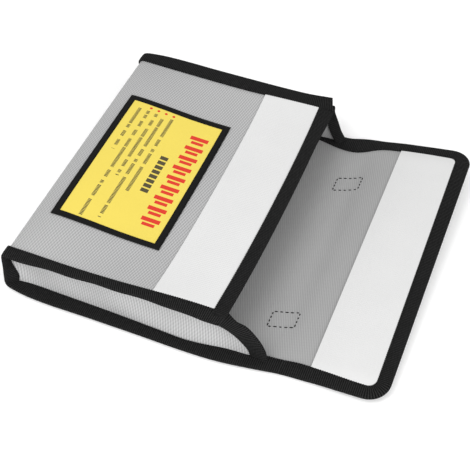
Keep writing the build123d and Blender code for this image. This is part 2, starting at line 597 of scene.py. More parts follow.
@dataclass(frozen=True)
class Webbing:
    """Black strap webbing with a herringbone."""

    name: str = "strap_webbing"
    level: float = 0.016
    pitch: float = 2.2 * MM
    rows: float = 5.0 * MM

    def material(self) -> bpy.types.Material:
        """The webbing.

        Returns:
            The material.
        """
        tree = Tree(self.name)
        along, across = tree.cloth_place()
        chevron = abs(across % self.rows - self.rows / 2)
        weave = (along + chevron).wave(self.pitch)
        shade = weave * 0.7 + tree.noise(120.0) * 0.3
        return tree.finish(
            Base_Color=tree.mix(shade, grey(self.level * 0.4), grey(self.level * 1.8)),
            Roughness=0.7, Specular_IOR_Level=0.15, Normal=tree.bump(weave, 0.0003))


@dataclass(frozen=True)
class HookAndLoop:
    """White hook-and-loop strip: rows of tiny hooks, or a soft matted pile."""

    name: str
    level: float = 0.70
    pitch: float = 1.5 * MM
    hooks: float = 0.5

    def material(self) -> bpy.types.Material:
        """The strip.

        Returns:
            The material.
        """
        tree = Tree(self.name)
        along, across = tree.cloth_place()
        rows = along.wave(self.pitch) * across.wave(self.pitch)
        pile = tree.noise(1500.0, 4.0)
        cloud = tree.noise(35.0, 3.0)
        relief = rows * self.hooks + pile * (1.0 - self.hooks)
        shade = relief * 0.5 + cloud * 0.5
        high = self.level * 1.05
        return tree.finish(
            Base_Color=tree.mix(shade, grey(self.level * 0.93), (high, high, high * 0.995, 1.0)),
            Roughness=0.9, Specular_IOR_Level=0.15, Normal=tree.bump(relief, 0.00018))


@dataclass(frozen=True)
class Thread:
    """Twisted sewing thread."""

    name: str = "black_thread"
    level: float = 0.007

    def material(self) -> bpy.types.Material:
        """The thread.

        Returns:
            The material.
        """
        tree = Tree(self.name)
        twist = tree.noise(2600.0, 2.0)
        return tree.finish(
            Base_Color=tree.mix(twist, grey(self.level * 0.3), grey(self.level * 2.0)),
            Roughness=0.6, Specular_IOR_Level=0.08, Normal=tree.bump(twist, 0.00008))


@dataclass(frozen=True)
class LabelPrint:
    """Yellow label cloth printed with plain bars and dashes that stand for a text.

    Its cloth place is in metres from the base fold and from the middle of the pouch.
    """

    name: str = "label_print"
    yellow: tuple = (0.77, 0.615, 0.10, 1.0)
    red: tuple = (0.66, 0.018, 0.014, 1.0)
    ink: tuple = (0.030, 0.026, 0.022, 1.0)
    heading: tuple = (64.4, 76.8, -51.0, 40.5)
    title: tuple = (54.0, 59.3, -24.5, 12.0)
    lines: tuple = ((47.0, -27.8, 46.8), (41.0, -56.5, 46.5), (35.6, -18.5, 46.8),
                    (29.6, -60.0, 47.2), (23.2, 2.5, 47.2))
    dots: tuple = ((46.9, 50.0), (41.3, 50.0), (35.7, 50.2), (30.0, 50.4))

    def boxed(self, at: Value, low: float, high: float) -> Value:
        """1 between two places in millimetres."""
        return (at > low * MM) * (at < high * MM)

    def material(self) -> bpy.types.Material:
        """The printed cloth.

        Returns:
            The material.
        """
        tree = Tree(self.name)
        x, y = tree.cloth_place()
        a, b, c, d = self.heading
        cell = ((d * MM - y) / (10.2 * MM)) % 1.0
        post = abs(cell - 0.30) < 0.17
        second = abs(cell - 0.72) < 0.13
        notch = (abs((x - (a + b) / 2 * MM)) < 4.2 * MM)
        heading = self.boxed(x, a, b) * self.boxed(y, c, d) * (post + second * notch)
        a, b, c, d = self.title
        cell = ((d * MM - y) / (4.6 * MM)) % 1.0
        title = self.boxed(x, a, b) * self.boxed(y, c, d) * (cell < 0.72)
        marks = title
        for number, (middle, low, high) in enumerate(self.lines):
            place = y + number * 0.0137
            wide = tree.node("ShaderNodeTexNoise", {"noise_dimensions": "1D"},
                             {"W": place, "Scale": 210.0, "Detail": 0.0})
            words = Value(tree, wide.outputs[0]) > 0.40
            letters = ((place / (1.15 * MM)) % 1.0) < 0.66
            tall = abs(x - middle * MM) < 1.15 * MM
            marks = marks + tall * self.boxed(y, low, high) * words * letters
        dots = None
        for px, py in self.dots:
            dot = ((x - px * MM) * (x - px * MM) + (y - py * MM) * (y - py * MM)) < (1.0 * MM) ** 2
            dots = dot if dots is None else dots + dot
        thread = (x.wave(0.9 * MM) + y.wave(0.9 * MM)) * 0.5
        cloud = tree.noise(45.0, 3.0)
        pale = tuple(min(1.0, v * 1.06) for v in self.yellow[:3]) + (1.0,)
        ground = tree.mix(cloud * 0.7 + thread * 0.3, self.yellow, pale)
        inked = tree.mix(marks * 0.94, ground, self.ink)
        colour = tree.mix(((heading + dots) > 0.5) * 0.97, inked, self.red)
        return tree.finish(Base_Color=colour, Roughness=0.55, Specular_IOR_Level=0.3,
                           Normal=tree.bump(thread, 0.00006))


@dataclass(frozen=True)
class Ground:
    """Plain pale floor."""

    name: str = "floor"

    def material(self) -> bpy.types.Material:
        """The floor."""
        return Tree(self.name).finish(Base_Color=grey(0.96), Roughness=0.95, Specular_IOR_Level=0.0,
                                      Emission_Color=grey(1.0), Emission_Strength=0.12)


# ---------------------------------------------------------------- the pouch's shape


def low_high(node: str) -> tuple:
    """A CAD node's corners in millimetres from the base fold."""
    low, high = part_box(node)
    shift = Vector((BASE_X, 0.0, 0.0))
    return (low - shift) / MM, (high - shift) / MM


def axis_of(joint: str) -> Vector:
    """A joint's place in millimetres from the base fold."""
    place = next(j for j in frame["joints"] if j["name"] == joint)["pos_m"]
    return (Vector(place) - Vector((BASE_X, 0.0, 0.0))) / MM


@dataclass(frozen=True)
class Layout:
    """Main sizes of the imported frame, in millimetres."""

    fold: float = axis_of("flap_fold").x
    mouth: float = low_high("front_mouth_tape")[1].x
    flap_end: float = low_high("flap_lip_edge_tape")[1].x
    half: float = low_high("front_panel")[1].y
    wall: float = low_high("base_panel")[1].y
    top: float = low_high("front_panel")[1].z
    under: float = low_high("back_panel")[0].z
    cloth: float = low_high("back_panel")[1].z - low_high("back_panel")[0].z
    tape: float = low_high("front_mouth_tape")[1].x - low_high("front_mouth_tape")[0].x
    strip: float = low_high("front_hook_strip")[1].x - low_high("front_hook_strip")[0].x


LAY = Layout()


@dataclass(frozen=True)
class Rim:
    """How one long side of the soft pouch leaves the straight lines of its frame.

    Each line gives a distance from the middle, or a height, against the distance from the base.
    """

    side: Side
    front_in: Fair
    front_out: Fair
    front_lift: Fair
    front_back: Fair
    back_in: Fair
    back_out: Fair
    back_lift: Fair
    flap_z: Fair
    mouth_in: tuple
    mouth_out: tuple
    front_ahead: float = 0.0


NEAR_RIM = Rim(
    side=Side.NEAR,
    front_in=Fair((0, 98.9), (15, 99.2), (45, 100.2), (75, 100.1), (105, 99.0), (144, 98.3)),
    front_out=Fair((0, 106.6), (12, 106.9), (30, 105.7), (45, 106.4), (60, 105.8), (75, 106.4),
                   (90, 105.8), (108, 106.7), (124, 106.6), (134, 106.0), (144, 103.6)),
    front_lift=Fair((0, -0.4), (20, -0.8), (60, -0.5), (100, -0.6), (122, -1.2), (134, -3.4), (144, -6.6)),
    front_back=Fair((0, 0.0), (125, 0.0), (144, -3.4)),
    back_in=Fair((0, 101.2), (40, 102.7), (72, 103.9), (103, 105.6), (120, 106.4), (134, 105.1),
                 (150, 102.0), (172, 98.9), (180, 98.3), (190, 97.3), (204, 97.9), (226, 99.2), (246, 99.4)),
    back_out=Fair((0, 107.9), (17, 110.8), (62, 111.9), (92, 112.5), (122, 113.3), (140, 113.0),
                  (152, 111.9), (166, 109.9), (178, 107.8), (190, 106.9), (226, 107.2), (246, 107.4)),
    back_lift=Fair((0, 0.0), (246, 0.0)),
    flap_z=Fair((171, 1.2), (179, 1.3), (188, 1.8), (207, 3.1), (227, 4.1), (246, 5.0)),
    mouth_in=((139.8, 104.2, 23.6), (144.1, 103.4, 21.4), (149.0, 102.3, 18.0), (155.6, 101.8, 11.6),
              (159.3, 101.8, 6.8), (160.8, 102.2, 2.4)),
    mouth_out=((143.6, 97.6, 29.0), (149.4, 99.2, 25.6), (156.0, 100.6, 25.0), (163.6, 101.2, 18.2),
               (168.6, 101.9, 11.0), (171.4, 102.6, 3.0)),
)
FAR_RIM = Rim(
    side=Side.FAR,
    front_in=Fair((0, 98.9), (12, 98.4), (30, 97.4), (75, 96.0), (90, 95.9), (105, 96.4),
                  (130, 96.8), (144, 96.8)),
    front_out=Fair((0, 107.0), (15, 107.6), (60, 107.0), (105, 106.8), (125, 106.9), (144, 108.2)),
    front_lift=Fair((0, 0.7), (15, 1.6), (60, 1.4), (105, 1.0), (125, 1.2), (144, 1.9)),
    front_back=Fair((0, 0.0), (120, 0.0), (144, -1.6)),
    back_in=Fair((0, 100.2), (60, 100.4), (110, 99.6), (140, 96.2), (152, 93.6), (161, 92.7), (167, 93.3),
                 (173, 95.3), (179, 97.8), (185, 99.6), (196, 100.9), (210, 101.2), (246, 100.9)),
    back_out=Fair((0, 106.6), (60, 108.6), (110, 109.4), (135, 108.0), (150, 103.6), (160, 102.8),
                  (172, 105.9), (184, 108.2), (196, 109.8), (210, 110.1), (246, 110.3)),
    back_lift=Fair((0, 0.0), (130, 0.0), (150, 2.2), (160, 3.4), (172, 2.2), (186, 0.0), (246, 0.0)),
    flap_z=Fair((150, 1.2), (163, 1.6), (172, 2.6), (180, 4.2), (190, 6.4), (210, 9.9),
                (234, 13.1), (246, 14.5)),
    mouth_in=((139.4, 102.4, 27.6), (140.6, 103.2, 23.0), (141.4, 101.8, 18.0), (143.7, 99.2, 13.4),
              (148.2, 97.8, 6.2), (151.8, 96.6, 2.4)),
    mouth_out=((145.6, 102.6, 29.6), (145.3, 105.0, 26.0), (145.2, 106.0, 22.4), (149.0, 103.6, 16.4),
               (152.6, 101.2, 10.8), (157.2, 100.4, 4.4)),
    front_ahead=2.3,
)
RIMS = {Side.NEAR: NEAR_RIM, Side.FAR: FAR_RIM}


@dataclass(frozen=True)
class Lie:
    """How the cloth of the front, the back and the flap lies, as heights over the plan."""

    top: Fair = Fair((0, 28.2), (144.5, 30.3))
    crown: Fair = Fair((0, 0.3), (4, 1.6), (13, 3.1), (35, 1.4), (60, -1.9), (85, -3.5), (110, -3.1),
                       (130, -2.2), (144.5, -1.8))
    bow: Fair = Fair((0, 0.0), (70, 0.2), (96, 1.2), (144.5, 2.0))
    droop: float = 0.9

    def front(self, x: np.ndarray, y: np.ndarray) -> np.ndarray:
        """Height of the front's outer face, before its mouth edge bows."""
        share = np.clip(np.abs(y) / LAY.wall, 0, 1)
        return self.top(x) + self.crown(x) * (1 - share ** 4)

    def plan_bow(self, x: np.ndarray, y: np.ndarray) -> np.ndarray:
        """How far the front's cloth stands out towards the flap in the middle."""
        share = np.clip(np.abs(y - 6.0) / (LAY.wall + 2.0), 0, 1)
        return self.bow(x) * (1 - share ** 2)

    def under(self, x: np.ndarray, y: np.ndarray) -> np.ndarray:
        """Height of the outer face of the back and the flap.

        Args:
            x: places from the base.
            y: places across.

        Returns:
            The height at each place.
        """
        x, y = np.broadcast_arrays(np.asarray(x, float), np.asarray(y, float))
        near, far = NEAR_RIM.flap_z(x), FAR_RIM.flap_z(x)
        middle = (NEAR_RIM.flap_z(x) + FAR_RIM.flap_z(x)) / 2
        share = y / LAY.half
        open_share = smooth(166, 196, x)
        edge = np.sign(share) * smooth(0.62, 1.0, np.abs(share))
        across = edge * (1 - open_share) + share * open_share
        middle = LAY.under + (middle - LAY.under) * smooth(170, 184, x)
        height = middle + np.where(across > 0, (far - middle), (middle - near)) * across
        height = height - self.droop * smooth(0.86, 1.0, np.abs(share)) * smooth(176, 196, x)
        for side, rim in RIMS.items():
            lift = rim.back_lift(x) * smooth(0.9, 1.0, share * side.value)
            height = height + lift
        return height


LIE = Lie()


@dataclass(frozen=True)
class Pouch:
    """The sewn pouch: its cloth course from the mouth round the base to the back, and its seams.

    step is the distance between rows of points; back_end is the cut where the flap's cloth takes
    over; corner is the rounding at the two folds of the base; tuck_in draws the mouth's raw edge
    back inside its tape; base_tuck is how far the side seams turn in at the base.
    """

    silver: bpy.types.Material
    lining: bpy.types.Material
    tape: bpy.types.Material
    step: float = 1.5
    back_end: float = 130.0
    columns: int = 61
    corner: float = 1.7
    tuck_in: float = 1.3
    base_tuck: float = 7.2

    def course(self) -> tuple:
        """Stations along the cloth from the front's mouth edge, round the base, along the back.

        Returns:
            The run each station is on, and its place on that run in millimetres.
        """
        front = np.arange(LAY.mouth - LAY.cloth, 0, -self.step)
        top, low = float(LIE.top(0)) - 0.2, LAY.under + 0.2
        base = np.linspace(top, low, int((top - low) / self.step))
        back = np.linspace(0, self.back_end, int(self.back_end / self.step))[1:]
        run = np.concatenate([np.zeros(len(front)), np.ones(len(base)), np.full(len(back), 2)])
        return run.astype(int), np.concatenate([front, base, back])

    def lines(self, rim: Rim) -> tuple:
        """The two lines of a side seam before their corners are rounded: sewn line and raw edge.

        Args:
            rim: the lines of one side.

        Returns:
            The sewn line and the raw edge.
        """
        run, place = self.course()
        sign = rim.side.value
        x, z = np.where(run == 1, 0.0, place), np.where(run == 1, place, 0.0)
        depth = np.clip((float(LIE.top(0)) - z) / 24.0, 0, 1)
        tuck = np.clip(1 - x / 26.0, 0, 1) ** 2
        in_x = np.choose(run, [x + rim.front_ahead * smooth(122, 144, x),
                               self.base_tuck * smooth(0.3, 1.05, depth) ** 1.5,
                               x + self.base_tuck * tuck])
        in_y = np.choose(run, [rim.front_in(x), 98.0 + 2.2 * smooth(0, 0.35, depth), rim.back_in(x)])
        out_x = np.choose(run, [x + rim.front_back(x), np.full_like(x, -0.7), x])
        out_y = np.choose(run, [rim.front_out(x), np.full_like(x, 106.5), rim.back_out(x)])
        middle = LAY.cloth / 2
        in_z = np.choose(run, [LIE.top(x) - middle, z, LIE.under(x, sign * rim.back_in(x)) + 0.75])
        out_z = np.choose(run, [LIE.top(x) - middle + rim.front_lift(x), z,
                                LIE.under(x, sign * rim.back_out(x)) + 0.75])
        inner = np.stack([in_x, sign * in_y, in_z], -1)
        outer = np.stack([out_x, sign * out_y, out_z], -1)
        return inner, outer

    def cloth(self) -> bpy.types.Object:
        """The strip of outer cloth: silver outside, grey lining inside.

        Returns:
            The finished object.
        """
        run, place = self.course()
        x = np.where(run == 1, 0.0, place)[:, None]
        z = np.where(run == 1, place, 0.0)[:, None]
        share = np.linspace(-1, 1, self.columns)[None, :]
        edge = {side: self.lines(rim) for side, rim in RIMS.items()}
        reach = np.where(share > 0, edge[Side.FAR][0][:, 1:2], -edge[Side.NEAR][0][:, 1:2])
        y = share * reach
        column = run[:, None]
        gx = x + np.where(column == 0, LIE.plan_bow(x, y), 0.0)
        tuck = np.where(share > 0, edge[Side.FAR][0][:, :1], edge[Side.NEAR][0][:, :1])
        gx = gx + (tuck - x) * smooth(0.84, 1.0, np.abs(share))
        gz = np.where(column == 0, LIE.front(x, y),
                      np.where(column == 1, z, LIE.under(x, y)))
        core = np.stack(np.broadcast_arrays(gx, y, gz), -1)
        sides = {}
        for side, (inner, outer) in edge.items():
            last = core[:, -1 if side is Side.FAR else 0]
            steps = np.array([0.3, 0.62, 0.94])[None, :, None]
            sides[side] = last[:, None] + (outer - inner)[:, None] * steps
        grid = np.concatenate([sides[Side.NEAR][:, ::-1], core, sides[Side.FAR]], axis=1)
        grid = ease(grid, self.step, self.corner)
        grid[0, :, 0] -= self.tuck_in
        inside = grid - grid_normals(grid) * LAY.cloth
        along = run_length(grid[:, grid.shape[1] // 2])
        uv = np.stack(np.broadcast_arrays(along[:, None], grid[..., 1]), -1)
        piece = shell("pouch_cloth", grid, inside, uv, [self.silver, self.lining])
        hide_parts("front_panel", "base_panel", "back_panel")
        bend_to_front(piece)
        return piece

    def seam_tape(self, rim: Rim) -> bpy.types.Object:
        """One run of tape over a front seam, down the base seam and along the back seam.

        Args:
            rim: the lines of one side.

        Returns:
            The finished object.
        """
        inner, outer = self.lines(rim)
        fine = 2
        picks = np.linspace(0, len(inner) - 1, (len(inner) - 1) * fine + 1)
        inner = np.stack([np.interp(picks, np.arange(len(inner)), c) for c in inner.T], -1)
        outer = np.stack([np.interp(picks, np.arange(len(outer)), c) for c in outer.T], -1)
        inner = ease(inner, self.step / fine, self.corner * 0.8)
        outer = ease(outer, self.step / fine, self.corner)
        name = rim.side.name.lower()
        piece = band(f"{name}_seam_tape", inner, outer, self.tape, thick=(1.5, 1.05))
        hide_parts(f"{name}_front_seam_tape", f"{name}_base_seam_tape", f"{name}_back_seam_tape")
        bend_to_front(piece)
        return piece

    def mouth_lines(self, rim: Rim, count: int = 45) -> tuple:
        """The sewn line and the edge of the tape over a gusset's mouth, from the top down.

        Args:
            rim: the lines of one side.
            count: number of points on each line.

        Returns:
            The sewn line and the tape's edge.
        """
        flip = np.array([1, rim.side.value, 1])
        lines = []
        for points in (rim.mouth_in, rim.mouth_out):
            points = np.array(points, float)
            fair = Fair(*[(s, p) for s, p in zip(run_length(points), points)])
            lines.append(fair(np.linspace(0, fair.place[-1], count)) * flip)
        return lines[0], lines[1]

    def mouth_tape(self, rim: Rim) -> bpy.types.Object:
        """Tape folded over the mouth edge of a gusset.

        Args:
            rim: the lines of one side.

        Returns:
            The finished object.
        """
        inner, outer = self.mouth_lines(rim)
        name = rim.side.name.lower()
        piece = band(f"{name}_mouth_tape", inner, outer, self.tape, thick=(1.45, 1.15), wrap=0.4)
        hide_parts(f"{name}_gusset_mouth_tape")
        bend_to_front(piece)
        return piece

    def gusset(self, rim: Rim, rows: int = 25, columns: int = 90) -> bpy.types.Object:
        """One side wall, bowed where it meets the back and softly dented between its seams.

        Args:
            rim: the lines of one side.
            rows: rows of points from foot to top.
            columns: points from base to mouth.

        Returns:
            The finished object.
        """
        sign, name = rim.side.value, rim.side.name.lower()
        inner, outer = self.mouth_lines(rim, rows)
        mouth = (inner + (outer - inner) * 0.45)[::-1]
        up = np.linspace(0, 1, rows)[:, None]
        share = np.linspace(0, 1, columns)[None, :]
        x0 = 5.2 - 4.6 * smooth(0, 0.5, up)
        x = x0 + (mouth[:, :1] - x0) * share
        low_z = LIE.under(x, sign * rim.back_in(x)) + LAY.cloth + 0.2
        high_z = LIE.top(x) - LAY.cloth
        z = low_z + (high_z - low_z) * up
        low_y, high_y = rim.back_in(x), rim.front_in(x) + 0.2
        y = high_y + (low_y - high_y) * (1 - up) ** 1.7 + 1.4 * smooth(0.12, 0.0, share) * (1 - up)
        middle = np.sin(np.pi * up) * smooth(0, 0.06, share) * smooth(1, 0.86, share)
        dent = (1.2 + 0.8 * np.sin(x / 17.0 + 0.6) + 0.5 * np.sin(x / 7.3 + 2.0 * up)) * middle
        points = np.stack(np.broadcast_arrays(x, sign * (y - dent), z), -1).copy()
        miss = mouth - points[:, -1]
        points += miss[:, None] * (smooth(0.74, 1.0, share) ** 1.4)[..., None]
        normal = grid_normals(points)
        normal *= np.sign(normal[..., 1:2] * sign)
        inside = points - normal * LAY.cloth
        uv = np.stack(np.broadcast_arrays(-x, sign * z), -1)
        piece = shell(f"{name}_gusset_wall", points, inside, uv, [self.silver, self.lining])
        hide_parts(f"{name}_gusset")
        bend_to_front(piece)
        return piece


def bend_to_front(piece: bpy.types.Object) -> None:
    """Bakes a piece of the pouch's place into its mesh; the piece is not bent to follow the back or the
    front.
    """
    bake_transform(piece)


@dataclass(frozen=True)
class FrontTrim:
    """What is sewn on the front: mouth tape, hook strip and label.

    label_back is how far the label's low and high corners lie back from their places in the frame.
    """

    tape: bpy.types.Material
    hooks: bpy.types.Material
    label: bpy.types.Material
    thread: bpy.types.Material
    label_back: tuple = ((0.0, 2.0, 0.0), (1.7, 0.3, 0.0))

    def label_corners(self, node: str) -> tuple:
        """The low and high corner of one node of the label."""
        return tuple(corner - Vector(back) for corner, back in zip(low_high(node), self.label_back))

    def patch(self, name: str, xs: np.ndarray, ys: np.ndarray, lift: tuple, material: bpy.types.Material,
              crease: float = 50.0) -> bpy.types.Object:
        """A flat piece that lies on the front.

        Args:
            name: the piece's name.
            xs: distances from the base.
            ys: places across.
            lift: its lower and upper face above the front's cloth.
            material: its material.
            crease: degrees above which an edge shows.

        Returns:
            The finished object.
        """
        x, y = np.broadcast_arrays(xs[:, None], np.atleast_2d(ys))
        z = LIE.front(x, y)
        gx = x + LIE.plan_bow(x, y)
        faces = [np.stack([gx, y, z + up], -1) for up in lift]
        return shell(name, faces[1], faces[0], np.stack([x, y], -1), [material], (0, 0, 0), crease)

    def edge_tape(self) -> bpy.types.Object:
        """Tape over the mouth edge of the front, its ends under the side tapes.

        Returns:
            The finished object.
        """
        y = np.arange(-102.0, 100.4, 0.8)
        base = np.full_like(y, LAY.mouth)
        lines = []
        for back in (LAY.tape - 0.5, 0.9):
            x = base - back
            z = LIE.front(np.full_like(y, LAY.mouth), y) - LAY.cloth / 2
            x = x + LIE.plan_bow(base, y) + (1.9 * smooth(55, 100, y) if back < 2 else 0.0)
            lines.append(np.stack([x, y, z - 0.25 * (back < 2)], -1))
        piece = band("front_edge_tape", lines[0], lines[1], self.tape, thick=(1.45, 1.0))
        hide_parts("front_mouth_tape")
        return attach(piece, "front")

    def hook_strip(self) -> bpy.types.Object:
        """The white strip beside the mouth tape.

        Returns:
            The finished object.
        """
        start = LAY.mouth - LAY.tape - 0.5 - LAY.strip
        xs = np.linspace(start, LAY.mouth - LAY.tape + 1.4, 28)
        near, far = (rim.front_in(xs)[:, None] + 0.5 for rim in RIMS.values())
        ys = -near + (near + far) * np.linspace(0, 1, 90)[None, :]
        piece = self.patch("hook_strip", xs, ys, (-0.1, 0.85), self.hooks)
        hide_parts("front_hook_strip")
        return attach(piece, "front")

    def label_cloth(self) -> bpy.types.Object:
        """The printed cloth inside the label's edge.

        Returns:
            The finished object.
        """
        low, high = self.label_corners("label_patch")
        xs, ys = np.linspace(low.x - 1.0, high.x + 1.0, 40), np.linspace(low.y - 1.0, high.y + 1.0, 60)
        piece = self.patch("label_cloth", xs, ys, (-0.1, 0.55), self.label)
        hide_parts("label_patch")
        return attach(piece, "front")

    def label_line(self, inset: float, step: float) -> np.ndarray:
        """Points round the label, an inset from its outer edge, corners rounded.

        Args:
            inset: distance in from the outer edge.
            step: distance between points.

        Returns:
            The points, in plan.
        """
        low, high = self.label_corners("label_border")
        x0, x1, y0, y1 = low.x + inset, high.x - inset, low.y + inset, high.y - inset
        corners = [(x0, y0), (x1, y0), (x1, y1), (x0, y1), (x0, y0)]
        line = [np.linspace(a, b, max(2, int(math.dist(a, b) / step)), endpoint=False)
                for a, b in zip(corners[:-1], corners[1:])]
        return np.concatenate(line)

    def label_edge(self) -> bpy.types.Object:
        """The thick overlocked edge of the label, as one closed ring.

        Returns:
            The finished object.
        """
        width = low_high("label_patch")[0].x - low_high("label_border")[0].x
        low, high = self.label_corners("label_border")
        count = 44
        rings = []
        for turn in np.linspace(0, 2 * np.pi, 11)[:-1]:
            inset = width / 2 - math.cos(turn) * width / 2
            up = 0.55 + 0.62 * math.sin(turn)
            x0, x1, y0, y1 = low.x + inset, high.x - inset, low.y + inset, high.y - inset
            corners = [(x0, y0), (x1, y0), (x1, y1), (x0, y1)]
            loop = np.concatenate([np.linspace(a, b, count, endpoint=False) for a, b in
                                   zip(corners, corners[1:] + corners[:1])])
            x, y = loop[:, 0], loop[:, 1]
            rings.append(np.stack([x + LIE.plan_bow(x, y), y, LIE.front(x, y) + up], -1))
        points = np.stack(rings + rings[:1], axis=1)
        points = np.concatenate([points, points[:1]])
        run = run_length(points[:, 0])
        uv = np.stack(np.broadcast_arrays(run[:, None], np.linspace(0, 10, 11)[None, :]), -1)
        maker = MeshMaker("label_edge")
        maker.grid(points, uv)
        piece = maker.build([self.thread], 70.0)
        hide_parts("label_border")
        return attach(piece, "front")

    def overlock(self) -> bpy.types.Object:
        """Threads laid side by side over the label's edge.

        Returns:
            The finished object.
        """
        width = low_high("label_patch")[0].x - low_high("label_border")[0].x
        middle = self.label_line(width / 2, 0.75)
        flat = LIE.front(middle[:, 0], middle[:, 1])
        x = middle[:, 0] + LIE.plan_bow(middle[:, 0], middle[:, 1])
        points = np.stack([x, middle[:, 1], flat + 0.98], -1)
        ahead = unit(np.roll(points, -1, axis=0) - np.roll(points, 1, axis=0))
        piece = Stitches(length=width * 0.97, width=0.62, height=0.5, jitter=0.10).lay(
            "label_overlock", points, np.cross(ahead, (0, 0, 1.0)), self.thread)
        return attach(piece, "front")


@dataclass(frozen=True)
class Stitches:
    """Short threads laid at points, each along its own direction, by Geometry Nodes.

    Lengths are in millimetres; jitter is the share by which a thread's length varies.
    """

    length: float
    width: float
    height: float
    jitter: float = 0.1
    seed: int = 7

    def tree(self, material: bpy.types.Material) -> bpy.types.GeometryNodeTree:
        """Builds the node tree that lays one thread at each point.

        Args:
            material: the thread's material.

        Returns:
            The node tree.
        """
        tree = bpy.data.node_groups.new("lay_threads", "GeometryNodeTree")
        face = tree.interface
        face.new_socket("Geometry", in_out="INPUT", socket_type="NodeSocketGeometry")
        for name in ("Length", "Width", "Height", "Jitter"):
            face.new_socket(name, in_out="INPUT", socket_type="NodeSocketFloat")
        face.new_socket("Seed", in_out="INPUT", socket_type="NodeSocketInt")
        face.new_socket("Geometry", in_out="OUTPUT", socket_type="NodeSocketGeometry")
        nodes, links = tree.nodes, tree.links

        def add(kind: str, settings: dict, sockets: dict) -> bpy.types.Node:
            """Adds a node with its settings and its sockets' values or links.

            Args:
                kind: the node's type.
                settings: its properties.
                sockets: values or links of its inputs.

            Returns:
                The node.
            """
            made = nodes.new(kind)
            for key, value in settings.items():
                setattr(made, key, value)
            for key, given in sockets.items():
                if isinstance(given, bpy.types.NodeSocket):
                    links.new(given, made.inputs[key])
                else:
                    made.inputs[key].default_value = given
            return made

        group = add("NodeGroupInput", {}, {})
        ball = add("GeometryNodeMeshUVSphere", {}, {"Segments": 6, "Rings": 5, "Radius": 0.5})
        heading = add("GeometryNodeInputNamedAttribute", {"data_type": "FLOAT_VECTOR"}, {"Name": "heading"})
        turned = add("FunctionNodeAlignRotationToVector", {"axis": "X"}, {"Vector": heading.outputs[0]})
        vary = add("FunctionNodeRandomValue", {"data_type": "FLOAT"},
                   {2: 0.0, 3: 1.0, "Seed": group.outputs["Seed"]})
        less = add("ShaderNodeMath", {"operation": "MULTIPLY"},
                   {0: vary.outputs[1], 1: group.outputs["Jitter"]})
        keep = add("ShaderNodeMath", {"operation": "SUBTRACT"}, {0: 1.0, 1: less.outputs[0]})
        long = add("ShaderNodeMath", {"operation": "MULTIPLY"},
                   {0: group.outputs["Length"], 1: keep.outputs[0]})
        size = add("ShaderNodeCombineXYZ", {}, {0: long.outputs[0], 1: group.outputs["Width"],
                                                2: group.outputs["Height"]})
        laid = add("GeometryNodeInstanceOnPoints", {}, {
            "Points": group.outputs["Geometry"], "Instance": ball.outputs["Mesh"],
            "Rotation": turned.outputs[0], "Scale": size.outputs[0]})
        real = add("GeometryNodeRealizeInstances", {}, {0: laid.outputs[0]})
        dressed = add("GeometryNodeSetMaterial", {}, {"Geometry": real.outputs[0], "Material": material})
        add("NodeGroupOutput", {}, {0: dressed.outputs[0]})
        return tree

    def lay(self, name: str, points: np.ndarray, headings: np.ndarray,
            material: bpy.types.Material) -> bpy.types.Object:
        """Lays the threads and turns the result into a plain mesh.

        Args:
            name: the piece's name.
            points: the middle of each thread, in millimetres from the base fold.
            headings: the direction of each thread.
            material: the thread's material.

        Returns:
            The finished object.
        """
        spots = bpy.data.meshes.new(name + "_spots")
        spots.from_pydata(row_frame(points).tolist(), [], [])
        heading = spots.attributes.new("heading", "FLOAT_VECTOR", "POINT")
        heading.data.foreach_set("vector", np.asarray(headings, float).ravel())
        host = bpy.data.objects.new(name + "_host", spots)
        bpy.context.scene.collection.objects.link(host)
        tree = self.tree(material)
        modifier = host.modifiers.new("threads", "NODES")
        modifier.node_group = tree
        sizes = {"Length": self.length * MM, "Width": self.width * MM, "Height": self.height * MM,
                 "Jitter": self.jitter, "Seed": self.seed}
        for item in tree.interface.items_tree:
            if item.in_out == "INPUT" and item.name in sizes:
                modifier[item.identifier] = sizes[item.name]
        bpy.context.view_layer.update()
        graph = bpy.context.evaluated_depsgraph_get()
        mesh = bpy.data.meshes.new_from_object(host.evaluated_get(graph))
        mesh.name = name
        mesh.shade_smooth()
        bpy.data.objects.remove(host)
        piece = bpy.data.objects.new(name, mesh)
        bpy.context.scene.collection.objects.link(piece)
        return piece


def tape_stitches(name: str, inner: np.ndarray, outer: np.ndarray, thick: float,
                  material: bpy.types.Material, pitch: float = 2.7) -> bpy.types.Object:
    """The row of stitches near a tape's sewn edge, on its upper or outer face.

    Args:
        name: the piece's name.
        inner: line of points under the tape's sewn edge.
        outer: the matching line on the raw edge.
        thick: height of the tape's face over that line, with its sign.
        material: the thread's material.
        pitch: distance between stitches.

    Returns:
        The finished object.
    """
    across = unit(outer - inner)
    along = unit(np.gradient(inner, axis=0))
    normal = unit(np.cross(across, along))
    normal *= np.where((normal[:, 2] < -0.2) | (np.abs(normal[:, 2]) < 0.2) & (
        normal[:, 1] * inner[:, 1] < 0), -1.0, 1.0)[:, None]
    line = inner + across * 1.5 + normal * thick
    run = run_length(line)
    at = np.arange(pitch, run[-1] - pitch / 2, pitch)
    points = np.stack([np.interp(at, run, c) for c in line.T], -1)
    heads = np.stack([np.interp(at, run, c) for c in along.T], -1)
    piece = Stitches(length=pitch * 0.78, width=0.5, height=0.42).lay(name, points, heads, material)
    return piece


